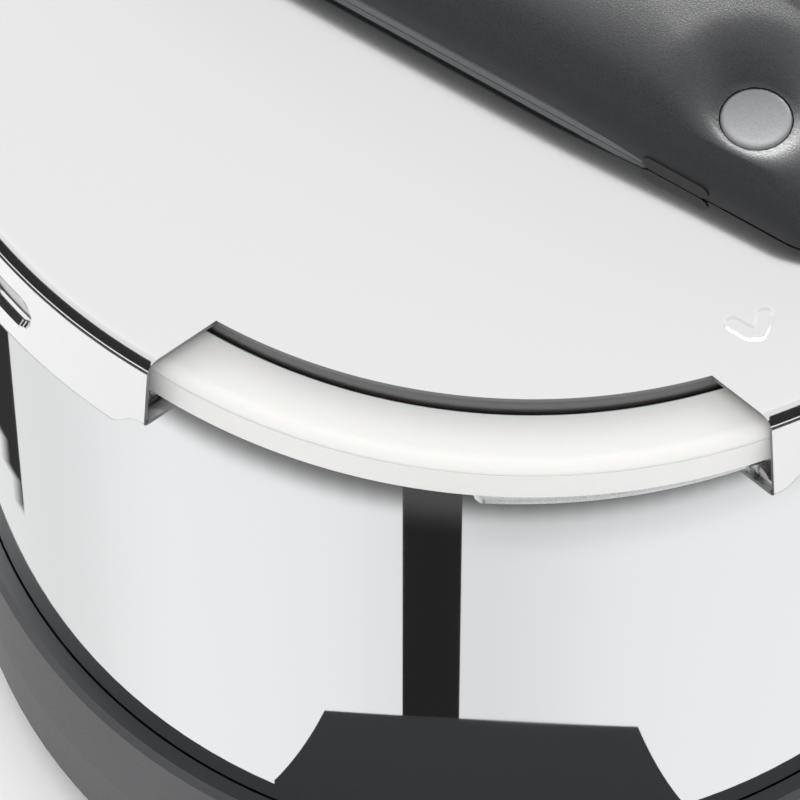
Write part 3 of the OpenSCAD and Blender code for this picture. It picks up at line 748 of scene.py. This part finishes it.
def pill(name, middle, half, rise, across, low, high):
    """A cutter with a round-ended section: upright if across is 0, else lying across the edge."""
    ends = [(half - rise, -90), (-(half - rise), 90)]
    section = [(e + rise * math.cos(math.radians(a + i * 10)), rise * math.sin(math.radians(a + i * 10)))
               for e, a in ends for i in range(19)]
    points = []
    for level in (low, high):
        for x, y in section:
            if across:
                points.append((*in_cover(middle[0] + x, level), middle[1] + y))
            else:
                points.append((*in_cover(middle[0] + x, middle[1] + y), level))
    n = len(section)
    faces = [tuple(range(n)), tuple(range(2 * n - 1, n - 1, -1))]
    faces += [(i, n + i, n + (i + 1) % n, (i + 1) % n) for i in range(n)]
    cutter = make_object(name, points, faces, GRAINED)
    work = bmesh.new()
    work.from_mesh(cutter.data)
    bmesh.ops.recalc_face_normals(work, faces=work.faces)
    work.to_mesh(cutter.data)
    work.free()
    return cutter


def make_cover():
    turns = cover_outline()
    shares = [0.02 + 0.98 * (1 - (1 - i / 90) ** 1.6) for i in range(91)] + [1.5, 2.0]
    points = [(*in_cover(u, v), z) for u, v, z in (cover_point(t, s) for t in turns for s in shares)]
    count = len(shares)
    faces = []
    for i in range(len(turns)):
        n = (i + 1) % len(turns)
        faces += [(i * count + j, n * count + j, n * count + j + 1, i * count + j + 1)
                  for j in range(count - 1)]
    points.append((0, 0, cover_point(turns[0], 0)[2]))
    faces += [(i * count, len(points) - 1, ((i + 1) % len(turns)) * count) for i in range(len(turns))]
    cover = make_object("cover_shell", points, faces, GRAINED)
    work = bmesh.new()
    work.from_mesh(cover.data)
    bmesh.ops.recalc_face_normals(work, faces=work.faces)
    work.to_mesh(cover.data)
    work.free()
    set_modifiers(cover, ("SOLIDIFY", {"thickness": 1.9 * MM, "offset": -1}))
    low, high = LID_TOP - 5, COVER_PEAK + 5
    cutters = [pill("cut_button", RELEASE_AT, RELEASE_R + 0.25, RELEASE_R + 0.25, 0, low, high),
               pill("cut_valve", VALVE_AT, 13.5, 13.5, 0, low, high),
               pill("cut_float", FLOAT_AT, 4.5, 4.5, 0, low, high)]
    for cutter in cutters:
        set_modifiers(cover, ("BOOLEAN", {"operation": "DIFFERENCE", "solver": "FAST", "object": cutter}))
        bpy.data.objects.remove(cutter)
    return finish_piece(cover, "lid", ["lid_cover"], 45)


cover = make_cover()
# painted shade: a black piece across the cover's edge stands for the dark inside of the slot
middle, half, rise = NOTCH
notch_shade = pill("notch_painted_shade", (middle, LID_TOP + rise / 2 + 0.2), half, rise / 2, 1,
              -COVER_W - 0.3, -COVER_W + 3.4)
notch_shade.data.materials[0] = plastics["inlet_plastic"]
finish_piece(notch_shade, "lid")
print("cover faces", len(cover.data.polygons))

# %% [markdown]
# ## The button in the dish
# A round button with a slightly hollow face and a small rounded edge, so that a finger finds
# it. Its stem goes down to the release lever.

# %% Button
BUTTON_STAND = 0.35                   # how far the button stands out of its dish
BUTTON_TOP = min(low_high("steam_button")[1][2], DISH_LEVEL + BUTTON_STAND)
print("button top %.1f, dish %.1f" % (BUTTON_TOP, DISH_LEVEL))


def button_profile(direction):
    low, high = low_high("steam_button")
    top = BUTTON_TOP
    edge = arc(RELEASE_R - 0.7, top - 0.7, 0.7, 0, 90, 6)
    hollow = [(RELEASE_R * s, top - 0.3 * (1 - s * s * 1.1)) for s in (0.8, 0.6, 0.4, 0.2, 0.001)]
    return [(0.001, low[2]), (RELEASE_R - 0.3, low[2])] + edge + hollow


button = sweep("release_button", round_turn(3), button_profile, plastics["button_grey"])
bx, by = in_cover(*RELEASE_AT)
for vertex in button.data.vertices:
    vertex.co.x += bx * MM
    vertex.co.y += by * MM
finish_piece(button, "release", ["steam_button"])

# %% [markdown]
# ## Floor and light
# The room is almost evenly white, as a tent of white cloth round the product makes it. Its
# light changes a little from the near side to the far side, which gives the lid its shade. A
# soft lamp on the near side fills the seal, and one on the far side makes the sheen in the
# cover's dish. Polished steel then needs something darker to reflect, or it has no shape, so
# cards stand outside the view. Only reflections see them. Their edges are found by following
# a ray from the camera off the steel, so each card's edge falls where the reflection should
# end. The card under the wall glows with painted light: painted reflections, painted dark
# bars and a painted shadow under the seal. From other sides the lid shows the card that is
# meant for its rim, and looks dark.

# %% Floor and world
floor_mesh = bpy.data.meshes.new("floor")
HALF_FLOOR = 3.0
floor_mesh.from_pydata([(-HALF_FLOOR, -HALF_FLOOR, 0), (HALF_FLOOR, -HALF_FLOOR, 0),
                        (HALF_FLOOR, HALF_FLOOR, 0), (-HALF_FLOOR, HALF_FLOOR, 0)], [], [(0, 1, 2, 3)])
floor = bpy.data.objects.new("floor", floor_mesh)
bpy.context.scene.collection.objects.link(floor)
floor_mesh.materials.append(material("pale_paper", "#F2F2F2", 0.7)[0])

world = bpy.data.worlds.new("white_tent")
bpy.context.scene.world = world
world.use_nodes = True
backdrop = world.node_tree.nodes["Background"]
backdrop.inputs["Color"].default_value = linear("#FFFFFF")
TENT = ((-1, 0.95), (-0.3, 0.95), (0, 0.9), (0.2, 0.95), (0.42, 1.10), (0.62, 0.89), (1, 0.8))
FAR = Vector((0.998, 0.059, 0))
facing = add(world.node_tree, "ShaderNodeTexCoord")
turned = add(world.node_tree, "ShaderNodeVectorMath", {0: (facing, "Generated"), 1: FAR},
             operation="DOT_PRODUCT")
level = add(world.node_tree, "ShaderNodeMapRange", {"Value": (turned, "Value"), "From Min": -1.0,
                                                    "From Max": 1.0})
ramp = add(world.node_tree, "ShaderNodeValToRGB", {"Fac": (level, "Result")})
stops = ramp.color_ramp.elements
for at, strength in TENT:
    stop = stops.new((at + 1) / 2) if -1 < at < 1 else stops[0 if at < 0 else -1]
    stop.color = (strength / 2, strength / 2, strength / 2, 1)
doubled = add(world.node_tree, "ShaderNodeMath", {0: (ramp, "Color"), 1: 2.0}, operation="MULTIPLY")
world.node_tree.links.new(doubled.outputs["Value"], backdrop.inputs["Strength"])
bpy.context.scene.view_settings.view_transform = "Standard"

# %% Camera
VIEW_AZIMUTH = math.radians(-86.6)
VIEW_RISE = math.radians(59.39)
VIEW_DISTANCE = 1.3738
LENS = 316.67
AIM = Vector((-0.11798, 0.01643, LID_TOP * MM))
ahead = Vector((-math.sin(VIEW_AZIMUTH) * math.cos(VIEW_RISE),
                math.cos(VIEW_AZIMUTH) * math.cos(VIEW_RISE), -math.sin(VIEW_RISE)))
camera_data = bpy.data.cameras.new("camera")
camera_data.lens = LENS
camera_data.sensor_width = 36
camera_data.clip_start = 0.05
camera = bpy.data.objects.new("camera", camera_data)
camera.location = AIM - ahead * VIEW_DISTANCE
camera.rotation_euler = ahead.to_track_quat("-Z", "Y").to_euler()
bpy.context.scene.collection.objects.link(camera)
bpy.context.scene.camera = camera
print("camera", [round(c, 3) for c in camera.location])

# %% Lamps


def lamp(name, azimuth, rise, away, size, power):
    """A soft lamp aimed at the lid; azimuth is from the camera's side."""
    around = VIEW_AZIMUTH - math.pi / 2 + math.radians(azimuth)
    middle = Vector((0, 0, LID_TOP * MM))
    up = math.radians(rise)
    out = Vector((math.cos(around) * math.cos(up), math.sin(around) * math.cos(up), math.sin(up)))
    data = bpy.data.lights.new(name, "AREA")
    data.shape = "RECTANGLE"
    data.size, data.size_y = size
    data.energy = power
    obj = bpy.data.objects.new(name, data)
    obj.location = middle + out * away
    obj.rotation_euler = (-out).to_track_quat("-Z", "Y").to_euler()
    obj.visible_camera = False
    bpy.context.scene.collection.objects.link(obj)
    return obj


near_lamp = lamp("near_lamp", 0, 66, 2.5, (1.6, 1.2), 24)
near_lamp.visible_glossy = False
far_lamp = lamp("far_lamp", 180, 20, 1.5, (2.6, 0.73), 260)
far_lamp.visible_diffuse = False

# %% Cards that only the steel sees
CARD_LIFT = 0.0015                    # the cards lie this far above the floor, in metres
CARD_REACH = 1.4                      # and those off the floor this far away


def bounce(place, normal):
    """Where a ray from the camera goes after a mirror."""
    arriving = (place - camera.location).normalized()
    return arriving - 2 * arriving.dot(normal) * normal


def steel_normal(turn, tilt):
    """Outward normal of the rim or wall; turn is from the camera's side, tilt upward."""
    facing = VIEW_AZIMUTH - math.pi / 2 + math.radians(turn)
    up = math.radians(tilt)
    return Vector((math.cos(facing) * math.cos(up), math.sin(facing) * math.cos(up), math.sin(up)))


def flag(name, rows, shade):
    """A sheet through rows of points that only mirrors see."""
    width = len(rows[0])
    points = [p for row in rows for p in row]
    faces = [(i * width + j, i * width + j + 1, (i + 1) * width + j + 1, (i + 1) * width + j)
             for i in range(len(rows) - 1) for j in range(width - 1)]
    mesh = bpy.data.meshes.new(name)
    mesh.from_pydata([tuple(p) for p in points], [], faces)
    made = bpy.data.materials.new(name)
    made.use_nodes = True
    tree = made.node_tree
    tree.nodes.clear()
    glow = add(tree, "ShaderNodeEmission", {"Color": linear(shade), "Strength": 1.0})
    add(tree, "ShaderNodeOutputMaterial", {"Surface": (glow, "Emission")})
    mesh.materials.append(made)
    obj = bpy.data.objects.new(name, mesh)
    bpy.context.scene.collection.objects.link(obj)
    for ray in ("camera", "diffuse", "transmission", "volume_scatter", "shadow"):
        setattr(obj, "visible_" + ray, False)
    return obj


def on_wall(turn, height):
    normal = steel_normal(turn, 0)
    return Vector((normal.x * WALL_R * MM, normal.y * WALL_R * MM, height)), normal


def painted_wall_light(turn, height):
    """Painted light that the wall shows at a direction and a height in millimetres, as a screen value:
    painted reflections of dark bars and of the room, and painted shadow under the seal.
    """
    # painted reflection of the dark bar
    if -10.9 < turn < -5.2:
        return 34 + 40 * smooth_step((height - 207) / 15)
    # painted reflection of the left dark bar
    if height > 112 and -60 - 0.22 * (height - 112) < turn < -60:
        return 46
    # painted reflection: a gradient, darker beside the bar and towards the left
    tone = 231 - 15 * math.exp(-((turn + 4) / 11) ** 2) - 19 * smooth_step((-35 - turn) / 20)
    # painted soft shadow under the seal, right of the bar
    tone -= 22 * smooth_step((height - 197) / 18) * smooth_step((turn + 12) / 14)
    # painted shadow just under the seal
    return tone - 125 * smooth_step((height - 212) / 14)


CORNER_NUDGE = 0.02                   # tones are read just inside each face, so bars stay sharp
WALL_SHINE = 0.72                     # share of the light that the buffed steel gives back


def painted_wall_light_card():
    """One card under the wall's view: each face glows with the painted light the wall shows there, painted
    reflections and painted shadow.
    """
    turns = sorted({-90.0 + 2.5 * i for i in range(59)} | {-60.0, -10.9, -5.2})
    heights = [30 + 5 * i for i in range(34)] + [200 + 2.5 * i for i in range(19)]
    rows = []
    for turn in turns:
        row = []
        for height in heights:
            place, normal = on_wall(turn, height * MM)
            ray = bounce(place, normal)
            row.append(place + ray * ((CARD_LIFT - place.z) / ray.z))
        rows.append(row)
    # the card glows with painted light: painted reflections and painted shadow for the wall
    card = flag("painted_wall_light_card", rows, "#161616")
    mesh = card.data
    painted_levels = []
    for i in range(len(turns) - 1):
        for j in range(len(heights) - 1):
            middle = ((turns[i] + turns[i + 1]) / 2, (heights[j] + heights[j + 1]) / 2)
            for a, b in ((i, j), (i, j + 1), (i + 1, j + 1), (i + 1, j)):
                painted_levels.append(painted_wall_light(turns[a] + (middle[0] - turns[a]) * CORNER_NUDGE,
                                       heights[b] + (middle[1] - heights[b]) * CORNER_NUDGE))
    layer = mesh.color_attributes.new("tone", "FLOAT_COLOR", "CORNER")
    for i, tone in enumerate(painted_levels):
        glow = linear("#" + "%02X" % round(max(0, min(255, tone))) * 3)[0] / WALL_SHINE
        layer.data[i].color = (glow, glow, glow, 1)
    tree = mesh.materials[0].node_tree
    glow = next(n for n in tree.nodes if n.type == "EMISSION")
    painted_levels_node = add(tree, "ShaderNodeVertexColor", layer_name="tone")
    tree.links.new(painted_levels_node.outputs["Color"], glow.inputs["Color"])
    return card


painted_wall_light_card()


def bend_flag():
    """The dark sheet that the lid's rounded edge shows as a line all along the rim."""
    rows = []
    for turn in range(-66, 40, 3):
        row = []
        for tilt in (60.7, 54, 47, 40, 34, 29, 25, 20, 17, 14):
            normal = steel_normal(turn, tilt)
            place = Vector((normal.x, normal.y, 0)).normalized() * FLAT_R * MM + normal * BEND * MM
            place.z += (LID_TOP - BEND) * MM
            ray = bounce(place, normal)
            reach = CARD_REACH
            if ray.z < 0:
                reach = min(reach, (CARD_LIFT - place.z) / ray.z)
            row.append(place + ray * reach)
        rows.append(row)
    return flag("rim_flag", rows, "#2E2E2E")


bend_flag()
